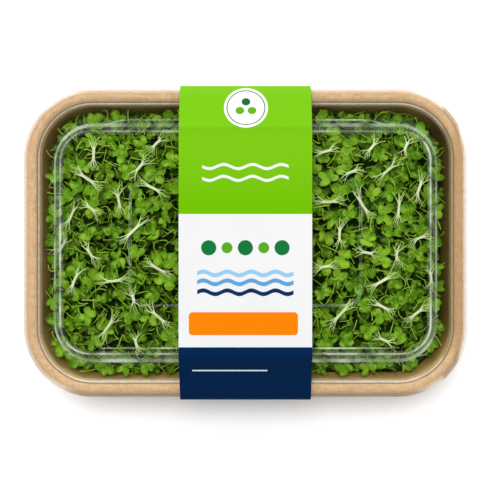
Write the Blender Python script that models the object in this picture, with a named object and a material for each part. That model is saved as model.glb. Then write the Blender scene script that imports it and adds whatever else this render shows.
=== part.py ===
"""Cut microgreens in a kraft paperboard tray with a clear domed lid and a card sleeve.

Metres, +Z up. The origin is the middle of the face that the tray rests on, +X runs
along the tray's length and +Y towards the end of the sleeve with the round badge.
"""

import math
import random

import bmesh
import bpy
from mathutils import Matrix, Vector

# Driving dimensions of the tray, its board, and the card and plastic round it
TRAY_LENGTH = 0.172
TRAY_WIDTH = 0.119
TRAY_CORNER_RADIUS = 0.0264
TRAY_HEIGHT = 0.0412
BOARD = 0.0006
WALL_TAPER = 0.18
CLEARANCE = 0.0003
CORNER_STEPS = 6
SHARP_EDGE_DEG = 35

# The rolled rim, measured to the middle of the board
CURL_HALF_WIDTH = 0.0019
CURL_HALF_HEIGHT = 0.0016
CURL_STEP_DEG = 36
CURL_END_DEG = 288

# The folded foot that grips the base panel, and the flat share of its fold
FOOT_LEG_HEIGHT = 0.0040
FOLD_FLAT = (0.2, 0.8)
BASE_RECESS = 0.0054

# The lid: its skirt and groove as (inset from its outer edge, rise above the rim)
LID_MARGIN = 0.001
PLASTIC = 0.0005
LEDGE_DROP = 0.0028
SKIRT_PROFILE = (
    (0.00025, -0.0052),
    (0.00090, -0.0043),
    (0.00035, -0.0032),
    (0.00025, -0.0010),
    (0.00070, 0.0001),
    (0.00170, 0.00058),
    (0.00460, 0.00058),
    (0.00550, 0.0002),
    (0.00610, -0.0008),
    (0.00650, -0.0023),
    (0.00710, -LEDGE_DROP),
    (0.01140, -LEDGE_DROP),
)
DOME_HEIGHT = 0.0080
DOME_FOOT_INSET = 0.0122
DOME_INSET = 0.0152
DOME_EXTRA_INSET_Y = 0.0018
DOME_PROFILE = (
    (DOME_FOOT_INSET, -0.0023, 0.0009),
    (DOME_INSET, DOME_HEIGHT - 0.0014, 0.0002),
    (DOME_INSET + 0.0007, DOME_HEIGHT - 0.0003, 0.0),
    (DOME_INSET + 0.0018, DOME_HEIGHT, 0.0),
)
EMBOSS_HALF_LENGTH = 0.0442
EMBOSS_HALF_WIDTH = 0.0241
EMBOSS_RADIUS = 0.0062
EMBOSS_DEPTH = 0.0007
RIB_HALF_LENGTH = 0.0600
RIB_RADIUS = 0.0006
RIB_SIDES = 8
TOP_RIB_INSET = 0.0030

# The sleeve: its lap under the base, and the rounding of its bends at foot, rim and dome
SLEEVE_WIDTH = 0.051
CARD = 0.0006
LAP_HALF_WIDTH = 0.0080
LAP_GAP = 0.0001
LAP_STEP = (0.0006, 0.0024)
FOOT_BEND = (0.0006, 0.0016, 0.0007)
RIM_BEND = (0.0048, 0.0002, 0.0005, 0.0007)
DOME_BEND = (0.0020, 0.0010, 0.0008, 0.00025)

# The greens
CANOPY_EDGE = 0.0358
CANOPY_RISE = 0.0090
CANOPY_LEDGE = 0.006
CANOPY_SHOULDER = 0.013
RIPPLE_HEIGHT = 0.0006
RIPPLE_LENGTHS = (0.0061, 0.0053)
CORE_DEPTH = 0.0075
CORE_ROUGHNESS = 0.0016
CORE_GRID = (8, 14)
GREENS_WALL_GAP = 0.0012
MIDDLE_HALF_LENGTH = 0.0180
HEAD_RADIUS = (0.0056, 0.0070)
HEAD_SPACING = 0.0082
HIDDEN_HEAD_SPACING = 0.0130
HEAD_TILT_DEG = 22
HEAD_CUP = (0.05, 0.30)
HEAD_LEVEL = (-0.0022, 0.0004)
SCATTER_TRIES = 2600
WALL_MARGIN = 0.7
CORNER_MARGIN = 0.5
BLADE = 0.0006
NECK_DEPTH = 1.2
STALK_RADIUS = 0.0006
STALK_LEAN = 0.93
ROOT_DEPTH = 0.004
GREENS_SEED = 11

# The bunches of pale cut stems that lie on the leaves: x and y of the waist in
# millimetres, direction in degrees and length in millimetres
STEM_BUNCHES = (
    (-59, 34, 88, 12), (-61, 25, -35, 14), (-41, 29, 50, 11), (-36, 21, -25, 13),
    (-49, 16, -80, 12), (-69, 11, 66, 15), (-60, 13, -40, 9), (-44, 5, 45, 16),
    (-34, 38, 45, 9), (-73, -1, 58, 10), (-60, -4, -58, 10), (-66, -15, 66, 14),
    (-51, -14, 4, 13), (-34, -10, -30, 13), (-34, -29, -42, 14), (-53, -33, 55, 13),
    (-42, -39, -75, 8), (-44, -22, -80, 7), (31, 36, 15, 11), (49, 37, 50, 9),
    (55, 28, 42, 13), (41, 27, 20, 9), (46, 15, -58, 15), (32, 17, 2, 12),
    (59, 13, 86, 14), (69, 21, 72, 13), (37, 3, 90, 12), (63, 37, 70, 8),
    (31, -10, 12, 10), (47, -4, -10, 9), (69, 1, 24, 10), (60, -5, 88, 9),
    (53, -15, 28, 14), (53, -25, -28, 12), (67, -28, 38, 13), (37, -28, 48, 16),
    (54, -38, -25, 10), (73, -14, 95, 9), (-14, 27, 40, 12), (10, 8, -30, 12),
    (-8, -20, 70, 12), (13, -34, 10, 12),
)
WAIST_SIDES = 5
WAIST_RADIUS = 0.0011
WAIST_SHARE = 0.36
WAIST_FLATNESS = 0.8
PRONG_SPLAY_DEG = 45
PRONG_WANDER = 0.12
PRONG_REACH = (0.85, 1.0)
PRONG_RISE = 0.25
PRONG_SAG = 0.0001
PRONG_TIP_SCALE = 0.45
BUNCH_CLEARANCE = 0.0048

# Levels and outlines worked out from the dimensions above
FOOT_Z = CARD + CLEARANCE
RIM_Z = FOOT_Z + TRAY_HEIGHT
CURL_Z = RIM_Z - CURL_HALF_HEIGHT - BOARD / 2
CURL_INSET = CURL_HALF_WIDTH + BOARD / 2
BASE_Z = FOOT_Z + BASE_RECESS
LID_TOP_Z = RIM_Z + DOME_HEIGHT
LEDGE_Z = RIM_Z - LEDGE_DROP


def clear_scene():
    for obj in list(bpy.data.objects):
        bpy.data.objects.remove(obj)


def material(name, colour, roughness, alpha=1.0):
    made = bpy.data.materials.new(name)
    made.use_nodes = True
    shader = made.node_tree.nodes["Principled BSDF"]
    shader.inputs["Base Color"].default_value = (*colour, 1.0)
    shader.inputs["Roughness"].default_value = roughness
    shader.inputs["Metallic"].default_value = 0.0
    shader.inputs["Alpha"].default_value = alpha
    made.diffuse_color = (*colour, alpha)
    return made


def add_object(name, bm, look):
    """Makes the finished mesh an object of that name."""
    bmesh.ops.recalc_face_normals(bm, faces=bm.faces)
    if bm.calc_volume(signed=True) < 0:
        bmesh.ops.reverse_faces(bm, faces=bm.faces)
    mesh = bpy.data.meshes.new(name)
    bm.to_mesh(mesh)
    bm.free()
    obj = bpy.data.objects.new(name, mesh)
    obj.data.materials.append(look)
    bpy.context.scene.collection.objects.link(obj)
    return obj


# Shells that follow a path inwards from a rounded rectangle


def tray_station(inset, z):
    """(half length, half width, corner radius, height) at this inset from the rim."""
    return (
        TRAY_LENGTH / 2 - inset,
        TRAY_WIDTH / 2 - inset,
        TRAY_CORNER_RADIUS - inset,
        z,
    )


def lid_station(inset, z, extra_y=0.0):
    """The same for the lid, whose skirt stands outside the rim."""
    half_x, half_y, radius, z = tray_station(inset - LID_MARGIN, z)
    return (half_x, half_y - extra_y, radius, z)


def rounded_loop(station):
    half_x, half_y, radius, z = station
    points = []
    for corner, (side_x, side_y) in enumerate(((1, 1), (-1, 1), (-1, -1), (1, -1))):
        centre_x = side_x * (half_x - radius)
        centre_y = side_y * (half_y - radius)
        for step in range(CORNER_STEPS + 1):
            angle = math.radians(90 * (corner + step / CORNER_STEPS))
            x = centre_x + radius * math.cos(angle)
            y = centre_y + radius * math.sin(angle)
            points.append(Vector((x, y, z)))
    return points


def offset_path(path, distance):
    """Moves each point of a 2D path sideways, with mitred corners."""
    moved = []
    for i, point in enumerate(path):
        before = (path[i] - path[i - 1]).normalized() if i else None
        after = (path[i + 1] - path[i]).normalized() if i + 1 < len(path) else None
        before = before or after
        after = after or before
        along = (before + after).normalized()
        mitre = distance / max(along.dot(before), 0.5)
        moved.append(point + Vector((-along.y, along.x)) * mitre)
    return moved


def shell_loops(stations, thickness):
    """Loops of a board or sheet of this thickness: one side out, the other back."""
    path = [Vector((-station[0], station[3])) for station in stations]
    sides = []
    for distance in (thickness / 2, -thickness / 2):
        loops = []
        for station, old, new in zip(stations, path, offset_path(path, distance)):
            grow = old.x - new.x
            half_x, half_y, radius, _ = station
            moved = (half_x + grow, half_y + grow, radius + grow, new.y)
            loops.append(rounded_loop(moved))
        sides.append(loops)
    return sides[0][::-1] + sides[1]


def loft(bm, loops, closed):
    """Joins loops of equal length, and ends them in flat caps unless closed."""
    rings = [[bm.verts.new(point) for point in loop] for loop in loops]
    pairs = list(zip(rings, rings[1:]))
    if closed:
        pairs.append((rings[-1], rings[0]))
    for first, second in pairs:
        count = len(first)
        for i in range(count):
            j = (i + 1) % count
            bm.faces.new((first[i], first[j], second[j], second[i]))
    if not closed:
        bm.faces.new(rings[0])
        bm.faces.new(rings[-1])


def shell(name, stations, thickness, look, closed):
    bm = bmesh.new()
    loft(bm, shell_loops(stations, thickness), closed)
    obj = add_object(name, bm, look)
    obj.data.shade_smooth()
    obj.data.set_sharp_from_angle(angle=math.radians(SHARP_EDGE_DEG))
    return obj


def wall_inset(z):
    """How far the middle of the tapered wall lies inside the rim at this height."""
    return CURL_INSET + CURL_HALF_WIDTH + WALL_TAPER * (CURL_Z - z)


def tray_wall(look):
    """Side wall with a rim rolled outwards and a foot folded in and up."""
    stations = []
    for degrees in range(CURL_END_DEG, -1, -CURL_STEP_DEG):
        angle = math.radians(degrees)
        inset = CURL_INSET + CURL_HALF_WIDTH * math.cos(angle)
        stations.append(tray_station(inset, CURL_Z + CURL_HALF_HEIGHT * math.sin(angle)))
    fold_z = FOOT_Z + BOARD / 2
    fold = 2 * (BOARD + CLEARANCE)
    stations.append(tray_station(wall_inset(fold_z + BOARD), fold_z + BOARD))
    for share in FOLD_FLAT:
        stations.append(tray_station(wall_inset(fold_z) + share * fold, fold_z))
    stations.append(tray_station(wall_inset(fold_z + BOARD) + fold, fold_z + BOARD))
    leg_z = FOOT_Z + FOOT_LEG_HEIGHT
    stations.append(tray_station(wall_inset(leg_z) + fold, leg_z))
    return shell("tray_wall", stations, BOARD, look, closed=True)


def tray_base(look):
    """Bottom panel whose turned-down edge stands in the folded foot."""
    beside_wall = BOARD + CLEARANCE
    edge_z = FOOT_Z + 2 * BOARD + 2 * CLEARANCE
    bend_z = BASE_Z - BOARD
    stations = [
        tray_station(wall_inset(edge_z) + beside_wall, edge_z),
        tray_station(wall_inset(bend_z) + beside_wall, bend_z),
        tray_station(wall_inset(BASE_Z) + 2 * beside_wall, BASE_Z),
    ]
    return shell("tray_base", stations, BOARD, look, closed=False)


def lid(look):
    """Clear lid: a skirt that snaps over the rim, a groove, a ledge and a dome."""
    stations = [lid_station(inset, RIM_Z + rise) for inset, rise in SKIRT_PROFILE]
    for inset, rise, extra_y in DOME_PROFILE:
        stations.append(lid_station(inset, RIM_Z + rise, DOME_EXTRA_INSET_Y + extra_y))
    half_step = EMBOSS_DEPTH / 2
    for grow, drop in ((half_step, 0.0), (-half_step, EMBOSS_DEPTH)):
        stations.append(
            (
                EMBOSS_HALF_LENGTH + grow,
                EMBOSS_HALF_WIDTH + grow,
                EMBOSS_RADIUS + grow,
                LID_TOP_Z - drop,
            )
        )
    made = shell("lid", stations, PLASTIC, look, closed=False)
    join_ribs(made)
    return made


def join_ribs(lid_object):
    """A straight stiffening rib along each long side, one on the ledge and one on top."""
    lid_y = TRAY_WIDTH / 2 + LID_MARGIN
    ledge_y = lid_y - DOME_FOOT_INSET
    top_y = -(lid_y - DOME_INSET - DOME_EXTRA_INSET_Y - TOP_RIB_INSET)
    for y, z in ((ledge_y, LEDGE_Z), (top_y, LID_TOP_Z)):
        bpy.ops.mesh.primitive_cylinder_add(
            vertices=RIB_SIDES,
            radius=RIB_RADIUS,
            depth=2 * RIB_HALF_LENGTH,
            location=(0, y, z),
            rotation=(0, math.radians(90), 0),
        )
        rib = bpy.context.object
        union = lid_object.modifiers.new("rib", "BOOLEAN")
        union.operation = "UNION"
        union.solver = "EXACT"
        union.object = rib
        apply_modifiers(lid_object)
        bpy.data.objects.remove(rib)


def apply_modifiers(obj):
    graph = bpy.context.evaluated_depsgraph_get()
    mesh = bpy.data.meshes.new_from_object(obj.evaluated_get(graph))
    obj.modifiers.clear()
    obj.data = mesh


def sleeve(look):
    """Card band pulled tight round tray and lid, its ends lapped under the base."""
    proud = CLEARANCE + CARD / 2
    foot_y = TRAY_WIDTH / 2 - wall_inset(FOOT_Z)
    rim_y = TRAY_WIDTH / 2 + LID_MARGIN + proud
    dome_y = TRAY_WIDTH / 2 + LID_MARGIN - DOME_INSET - DOME_EXTRA_INSET_Y
    top_z = LID_TOP_Z + RIB_RADIUS + proud
    side = [
        (foot_y + FOOT_BEND[0], CARD / 2),
        (foot_y + FOOT_BEND[1], CARD / 2 + FOOT_BEND[2]),
        (rim_y, RIM_Z - RIM_BEND[0]),
        (rim_y, RIM_Z - RIM_BEND[1]),
        (rim_y - RIM_BEND[2], RIM_Z + RIM_BEND[3]),
        (dome_y + DOME_BEND[0], top_z - DOME_BEND[1]),
        (dome_y + DOME_BEND[2], top_z - DOME_BEND[3]),
        (dome_y - DOME_BEND[1], top_z),
    ]
    lap_z = CARD / 2 + CARD + LAP_GAP
    path = [(-LAP_HALF_WIDTH, lap_z), (LAP_HALF_WIDTH + LAP_STEP[0], lap_z)]
    path.append((LAP_HALF_WIDTH + LAP_STEP[1], CARD / 2))
    path += side
    path += [(-y, z) for y, z in reversed(side)]
    path.append((LAP_HALF_WIDTH, CARD / 2))
    middle = [Vector(point) for point in path]
    section = offset_path(middle, CARD / 2) + offset_path(middle, -CARD / 2)[::-1]
    bm = bmesh.new()
    ends = []
    for x in (-SLEEVE_WIDTH / 2, SLEEVE_WIDTH / 2):
        ends.append([bm.verts.new((x, p.x, p.y)) for p in section])
    for i in range(len(section)):
        j = (i + 1) % len(section)
        bm.faces.new((ends[0][i], ends[0][j], ends[1][j], ends[1][i]))
    for end in ends:
        bm.faces.new(end)
    return add_object("sleeve", bm, look)


# The greens


def outside(point, half_x, half_y, radius):
    """How far, and which way, a point lies outside a rounded rectangle."""
    past_x = max(abs(point.x) - (half_x - radius), 0.0)
    past_y = max(abs(point.y) - (half_y - radius), 0.0)
    past = Vector((math.copysign(past_x, point.x), math.copysign(past_y, point.y)))
    over = past.length - radius
    return past.normalized() * over if over > 0 else Vector((0.0, 0.0))


def wall_outline(z):
    """Half length, half width and corner radius inside the wall, clear of it."""
    inset = wall_inset(z) + BOARD / 2 + GREENS_WALL_GAP
    return TRAY_LENGTH / 2 - inset, TRAY_WIDTH / 2 - inset, TRAY_CORNER_RADIUS - inset


def half_width_at(x, z):
    """Half width inside the wall at this x, round the corners."""
    half_x, half_y, radius = wall_outline(z)
    past = abs(x) - (half_x - radius)
    if past <= 0:
        return half_y
    return half_y - radius + math.sqrt(max(radius**2 - past**2, 0.0))


def canopy(x, y):
    """Height of the top of the leaves: level in the middle and lower at the wall."""
    half_x, half_y, _ = wall_outline(CANOPY_EDGE)
    reach = min(half_x - abs(x), half_y - abs(y)) - CANOPY_LEDGE
    share = min(max(reach / CANOPY_SHOULDER, 0.0), 1.0)
    smooth = share * share * (3 - 2 * share)
    ripple = math.sin(x / RIPPLE_LENGTHS[0]) * math.cos(y / RIPPLE_LENGTHS[1])
    return CANOPY_EDGE + CANOPY_RISE * smooth + RIPPLE_HEIGHT * ripple


def lid_height(point):
    """Height that stays clear under the lid: the ledge outside the dome, or the top."""
    inset = DOME_INSET + PLASTIC / 2 + CLEARANCE
    half_x, half_y, radius, _ = lid_station(inset, 0.0, DOME_EXTRA_INSET_Y)
    if outside(point, half_x, half_y, radius).length > 0:
        return LEDGE_Z - RIB_RADIUS - CLEARANCE
    return LID_TOP_Z - EMBOSS_DEPTH - PLASTIC / 2 - CLEARANCE


def stretch_at(x_from, x_to, z):
    """The part of this stretch of the tray that lies inside its end walls."""
    limit = wall_outline(z)[0]
    return max(x_from, -limit), min(x_to, limit)


def core(bm, x_from, x_to, draw):
    """The packed stems and lower leaves, as a rough mound over this stretch."""
    columns, rows = CORE_GRID
    floor_z = BASE_Z + BOARD / 2 + CLEARANCE
    layers = []
    for outline_z in (floor_z, CANOPY_EDGE - CORE_DEPTH):
        start, stop = stretch_at(x_from, x_to, outline_z)
        grid = []
        for i in range(columns + 1):
            share = (1 - math.cos(math.pi * i / columns)) / 2
            x = start + (stop - start) * share
            line = []
            for j in range(rows + 1):
                y = (2 * j / rows - 1) * half_width_at(x, outline_z)
                inside = 0 < i < columns and 0 < j < rows
                rough = draw.uniform(-CORE_ROUGHNESS, CORE_ROUGHNESS) if inside else 0.0
                line.append(Vector((x, y, canopy(x, y) - CORE_DEPTH + rough)))
            grid.append(line)
        layers.append(grid)
    edge = [(i, 0) for i in range(columns)]
    edge += [(columns, j) for j in range(rows)]
    edge += [(i, rows) for i in range(columns, 0, -1)]
    edge += [(0, j) for j in range(rows, 0, -1)]
    low = [bm.verts.new((*layers[0][i][j].xy, floor_z)) for i, j in edge]
    high = [[bm.verts.new(point) for point in line] for line in layers[1]]
    bm.faces.new(low)
    for k in range(len(edge)):
        after = (k + 1) % len(edge)
        upper = [high[i][j] for i, j in (edge[k], edge[after])]
        bm.faces.new((low[k], low[after], upper[1], upper[0]))
    for i in range(columns):
        for j in range(rows):
            corners = (high[i][j], high[i + 1][j], high[i + 1][j + 1], high[i][j + 1])
            bm.faces.new((corners[0], corners[1], corners[2]))
            bm.faces.new((corners[0], corners[2], corners[3]))


# Outline of a seedling's two notched seed leaves seen from above, as (degrees,
# share of the radius) over one half; the other half repeats it
HEAD_OUTLINE = ((0, 0.66), (20, 0.98), (48, 0.92), (90, 0.26), (132, 0.90), (160, 1.0))


def head_points(radius, cup, turn):
    """The leaves' outline, cupped upwards, about the top of the stalk."""
    points = []
    for half in (0, 180):
        for degrees, share in HEAD_OUTLINE:
            angle = math.radians(degrees + half)
            out = radius * share
            z = cup * radius * share * share
            points.append(turn @ Vector((out * math.cos(angle), out * math.sin(angle), z)))
    return points


def head(bm, place, outline, turn, foot):
    """Two notched seed leaves of one thickness on a stalk that runs down to its foot."""
    down = turn @ Vector((0, 0, -BLADE))
    upper = [bm.verts.new(place + p) for p in outline]
    lower = [bm.verts.new(place + p + down) for p in outline]
    top = bm.verts.new(place)
    neck = []
    base = []
    for side in range(3):
        angle = math.radians(120 * side + 60)
        arm = turn @ Vector((math.cos(angle), math.sin(angle), 0)) * STALK_RADIUS
        neck.append(bm.verts.new(place + NECK_DEPTH * down + arm))
        base.append(bm.verts.new(foot + arm))
    count = len(outline)
    for i in range(count):
        j = (i + 1) % count
        side = i * 3 // count
        bm.faces.new((top, upper[i], upper[j]))
        bm.faces.new((upper[i], lower[i], lower[j], upper[j]))
        bm.faces.new((lower[j], lower[i], neck[side]))
        if j % (count // 3) == 0:
            bm.faces.new((neck[side], neck[(side + 1) % 3], lower[j]))
    for side in range(3):
        after = (side + 1) % 3
        bm.faces.new((neck[side], neck[after], base[after], base[side]))
    bm.faces.new(base)


def bunch_level(x, y):
    """Height of the middle of a bunch of stems that lies on the leaves here."""
    return canopy(x, y) + WAIST_RADIUS


def free_height(point):
    """Height that a leaf may reach here under the lid and the bunches of stems."""
    free = lid_height(point)
    for x_mm, y_mm, degrees, length_mm in STEM_BUNCHES:
        middle = Vector((x_mm, y_mm)) / 1000
        angle = math.radians(degrees)
        along = Vector((math.cos(angle), math.sin(angle)))
        half = length_mm / 2000
        flat = point.xy - middle
        reach = min(max(flat.dot(along), -half), half)
        if (flat - along * reach).length < BUNCH_CLEARANCE:
            free = min(free, bunch_level(*middle) - WAIST_RADIUS - 2 * CLEARANCE)
    return free


def settled(place, outline):
    """The place moved inside the wall and down until all its outline is clear."""
    for _ in range(3):
        pushes = [outside(place + p, *wall_outline(place.z + p.z)) for p in outline]
        push = max(pushes, key=lambda vector: vector.length)
        place = place - push.to_3d()
    samples = [place] + [place + p * share for p in outline for share in (0.5, 1.0)]
    drop = max(point.z - free_height(point) for point in samples)
    return place - Vector((0, 0, max(drop, 0.0)))


def scattered(draw, x_from, x_to, spacing, margin):
    """Seeded places at least this far apart, inside the tray and off its wall."""
    places = []
    start, stop = stretch_at(x_from, x_to, CANOPY_EDGE)
    for _ in range(SCATTER_TRIES):
        x = draw.uniform(start + margin, stop - margin)
        reach = half_width_at(abs(x) + CORNER_MARGIN * margin, CANOPY_EDGE)
        reach -= WALL_MARGIN * margin
        y = draw.uniform(-reach, reach)
        spot = Vector((x, y))
        if all((spot - other).length > spacing for other in places):
            places.append(spot)
    return places


def greens(name, x_from, x_to, spacing, seed, look):
    """One heap of seedlings: leaves on stalks that stand in a core of packed stems."""
    draw = random.Random(seed)
    base = bmesh.new()
    core(base, x_from, x_to, draw)
    body = add_object(name, base, look)
    heads = bpy.data.collections.new(name + "_heads")
    bpy.context.scene.collection.children.link(heads)
    for spot in scattered(draw, x_from, x_to, spacing, HEAD_RADIUS[1]):
        radius = draw.uniform(*HEAD_RADIUS)
        tilt = Matrix.Rotation(math.radians(draw.uniform(0, HEAD_TILT_DEG)), 4, "X")
        spin = Matrix.Rotation(draw.uniform(0, math.tau), 4, "Z")
        turn = (Matrix.Rotation(draw.uniform(0, math.tau), 4, "Z") @ tilt @ spin).to_3x3()
        cup = draw.uniform(*HEAD_CUP)
        level = canopy(*spot) + draw.uniform(*HEAD_LEVEL)
        place = Vector((spot.x, spot.y, level))
        outline = head_points(radius, cup, turn)
        place = settled(place, outline)
        root = spot * STALK_LEAN
        foot = Vector((root.x, root.y, canopy(*root) - CORE_DEPTH - ROOT_DEPTH))
        bm = bmesh.new()
        head(bm, place, outline, turn, foot)
        made = add_object(name + "_head", bm, look)
        bpy.context.scene.collection.objects.unlink(made)
        heads.objects.link(made)
    union = body.modifiers.new("heads", "BOOLEAN")
    union.operation = "UNION"
    union.solver = "MANIFOLD"
    union.operand_type = "COLLECTION"
    union.collection = heads
    bpy.context.view_layer.update()
    apply_modifiers(body)
    for obj in list(heads.objects):
        bpy.data.objects.remove(obj)
    bpy.data.collections.remove(heads)
    return body


def stem_bunch(name, x_mm, y_mm, degrees, length_mm, draw, look):
    """Stems held together at the waist that fan out flat at both ends."""
    half = length_mm / 2000
    waist = half * WAIST_SHARE
    bm = bmesh.new()
    ends = []
    for x in (-waist, waist):
        ring = []
        for side in range(WAIST_SIDES):
            angle = math.tau * side / WAIST_SIDES
            y = WAIST_RADIUS * math.cos(angle)
            z = WAIST_FLATNESS * WAIST_RADIUS * math.sin(angle)
            ring.append(bm.verts.new((x, y, z)))
        ends.append(ring)
    for i in range(WAIST_SIDES):
        j = (i + 1) % WAIST_SIDES
        bm.faces.new((ends[0][i], ends[0][j], ends[1][j], ends[1][i]))
    caps = [bm.faces.new(end) for end in ends]
    bmesh.ops.recalc_face_normals(bm, faces=bm.faces)
    poked = bmesh.ops.poke(bm, faces=caps)["faces"]
    stems = bmesh.ops.extrude_discrete_faces(bm, faces=poked)["faces"]
    for face in stems:
        middle = face.calc_center_median()
        way = math.copysign(1.0, middle.x)
        side = middle.y / WAIST_RADIUS
        wander = draw.uniform(-PRONG_WANDER, PRONG_WANDER)
        angle = math.radians(PRONG_SPLAY_DEG) * side + wander
        run = (half - waist) * draw.uniform(*PRONG_REACH)
        rise = PRONG_RISE * middle.z - PRONG_SAG
        step = Vector((way * run * math.cos(angle), run * math.sin(angle), rise))
        for vert in face.verts:
            vert.co = middle + step + (vert.co - middle) * PRONG_TIP_SCALE
    middle_x, middle_y = x_mm / 1000, y_mm / 1000
    place = Matrix.Translation((middle_x, middle_y, bunch_level(middle_x, middle_y)))
    turn = Matrix.Rotation(math.radians(degrees), 4, "Z")
    bmesh.ops.transform(bm, matrix=place @ turn, verts=bm.verts)
    return add_object(name, bm, look)


def main():
    clear_scene()
    kraft = material("kraft_board", (0.60, 0.40, 0.22), 0.8)
    clear = material("clear_plastic", (0.95, 0.97, 0.96), 0.08, alpha=0.3)
    card = material("printed_card", (0.90, 0.91, 0.90), 0.45)
    leaf = material("leaf", (0.10, 0.28, 0.04), 0.5)
    stem = material("pale_stem", (0.68, 0.78, 0.48), 0.45)

    tray_wall(kraft)
    tray_base(kraft)
    lid(clear)
    sleeve(card)

    near = MIDDLE_HALF_LENGTH + CLEARANCE
    stretches = (
        ("greens_left", -TRAY_LENGTH / 2, -near, HEAD_SPACING),
        ("greens_middle", -MIDDLE_HALF_LENGTH, MIDDLE_HALF_LENGTH, HIDDEN_HEAD_SPACING),
        ("greens_right", near, TRAY_LENGTH / 2, HEAD_SPACING),
    )
    for number, (name, x_from, x_to, spacing) in enumerate(stretches):
        greens(name, x_from, x_to, spacing, GREENS_SEED + number, leaf)

    draw = random.Random(GREENS_SEED)
    for number, bunch in enumerate(STEM_BUNCHES, start=1):
        stem_bunch(f"stems_{number:02d}", *bunch, draw, stem)


main()
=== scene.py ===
"""Looks of the microgreens tray: kraft board, clear lid, printed card and fresh greens.

Metres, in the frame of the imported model. Each piece repeats the named values of the
solid that it stands for, and stays where that solid is.
"""

import math

import bmesh
import bpy
import numpy as np
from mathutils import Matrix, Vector


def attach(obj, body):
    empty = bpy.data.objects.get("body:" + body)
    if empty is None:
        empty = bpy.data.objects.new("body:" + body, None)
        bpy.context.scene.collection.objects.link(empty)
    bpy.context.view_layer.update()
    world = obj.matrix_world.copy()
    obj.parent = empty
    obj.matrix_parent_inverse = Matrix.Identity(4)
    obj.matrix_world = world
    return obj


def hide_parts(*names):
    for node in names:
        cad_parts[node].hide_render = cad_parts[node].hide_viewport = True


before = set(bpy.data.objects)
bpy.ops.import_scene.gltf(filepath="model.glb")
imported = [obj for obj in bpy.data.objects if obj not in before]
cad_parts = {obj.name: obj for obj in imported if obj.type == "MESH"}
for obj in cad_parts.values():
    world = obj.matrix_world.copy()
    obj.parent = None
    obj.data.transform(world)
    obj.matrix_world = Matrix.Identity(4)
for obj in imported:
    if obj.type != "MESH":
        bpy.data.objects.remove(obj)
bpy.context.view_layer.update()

# Tray, board, card and plastic
TRAY_LENGTH = 0.172
TRAY_WIDTH = 0.119
TRAY_CORNER_RADIUS = 0.0264
TRAY_HEIGHT = 0.0412
BOARD = 0.0006
WALL_TAPER = 0.18
CLEARANCE = 0.0003
CARD = 0.0006
PLASTIC = 0.0005
LID_MARGIN = 0.001
CURL_HALF_WIDTH = 0.0019
CURL_HALF_HEIGHT = 0.0016
CURL_END_DEG = 288
FOOT_LEG_HEIGHT = 0.0040
BASE_RECESS = 0.0054
FOOT_Z = CARD + CLEARANCE
RIM_Z = FOOT_Z + TRAY_HEIGHT
CURL_Z = RIM_Z - CURL_HALF_HEIGHT - BOARD / 2
CURL_INSET = CURL_HALF_WIDTH + BOARD / 2
BASE_Z = FOOT_Z + BASE_RECESS
CORNER_STEPS = 18

# Dome, panel and ribs of the lid
DOME_HEIGHT = 0.0080
DOME_FOOT_INSET = 0.0122
DOME_INSET = 0.0152
DOME_EXTRA_INSET_Y = 0.0018
EMBOSS_HALF_LENGTH = 0.0442
EMBOSS_HALF_WIDTH = 0.0241
EMBOSS_RADIUS = 0.0062
EMBOSS_DEPTH = 0.0007
RIB_RADIUS = 0.0006
LID_TOP_Z = RIM_Z + DOME_HEIGHT
LEDGE_Z = RIM_Z - 0.0028
SHEET = 0.00032
# Share of the dome's haze on its far side, and what its ends and near side have more
DOME_HAZE_LEAST = 0.30
DOME_HAZE_MORE = 0.60

# Sleeve
SLEEVE_WIDTH = 0.051
LAP_HALF_WIDTH = 0.0080
LAP_GAP = 0.0001

# Greens
CANOPY_EDGE = 0.0358
CANOPY_RISE = 0.0090
CANOPY_LEDGE = 0.006
CANOPY_SHOULDER = 0.013
GREENS_WALL_GAP = 0.0006
LEAF_GAP = 0.0016
MIDDLE_HALF_LENGTH = 0.0180


# Meshes


def mesh_piece(name, shape, look, node, sharp=40):
    """A piece from corner points, arrays of polygons and values at the points."""
    verts, polygons, values = shape
    mesh = bpy.data.meshes.new(name)
    verts = np.asarray(verts, dtype=np.float32).reshape(-1, 3)
    polygons = [np.asarray(part, dtype=np.int32) for part in polygons]
    loops = np.concatenate([part.ravel() for part in polygons])
    counts = np.concatenate([np.full(len(part), part.shape[1]) for part in polygons])
    starts = np.concatenate([[0], np.cumsum(counts)[:-1]]).astype(np.int32)
    mesh.vertices.add(len(verts))
    mesh.vertices.foreach_set("co", verts.ravel())
    mesh.loops.add(len(loops))
    mesh.loops.foreach_set("vertex_index", loops)
    mesh.polygons.add(len(counts))
    mesh.polygons.foreach_set("loop_start", starts)
    mesh.materials.append(look)
    mesh.update(calc_edges=True)
    mesh.validate()
    for key, numbers in values.items():
        layer = mesh.attributes.new(key, "FLOAT", "POINT")
        layer.data.foreach_set("value", np.asarray(numbers, dtype=np.float32).ravel())
    mesh.shade_smooth()
    mesh.set_sharp_from_angle(angle=math.radians(sharp))
    piece = bpy.data.objects.new(name, mesh)
    bpy.context.scene.collection.objects.link(piece)
    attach(piece, "root")
    if node:
        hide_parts(node)
    return piece


def unit(vectors):
    return vectors / np.maximum(np.linalg.norm(vectors, axis=-1, keepdims=True), 1e-12)


def bent(start, corner, end, steps):
    """Points of the curve that rounds a corner."""
    curve = []
    for step in range(steps + 1):
        t = step / steps
        curve.append((1 - t) ** 2 * start + 2 * t * (1 - t) * corner + t * t * end)
    return curve


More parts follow.
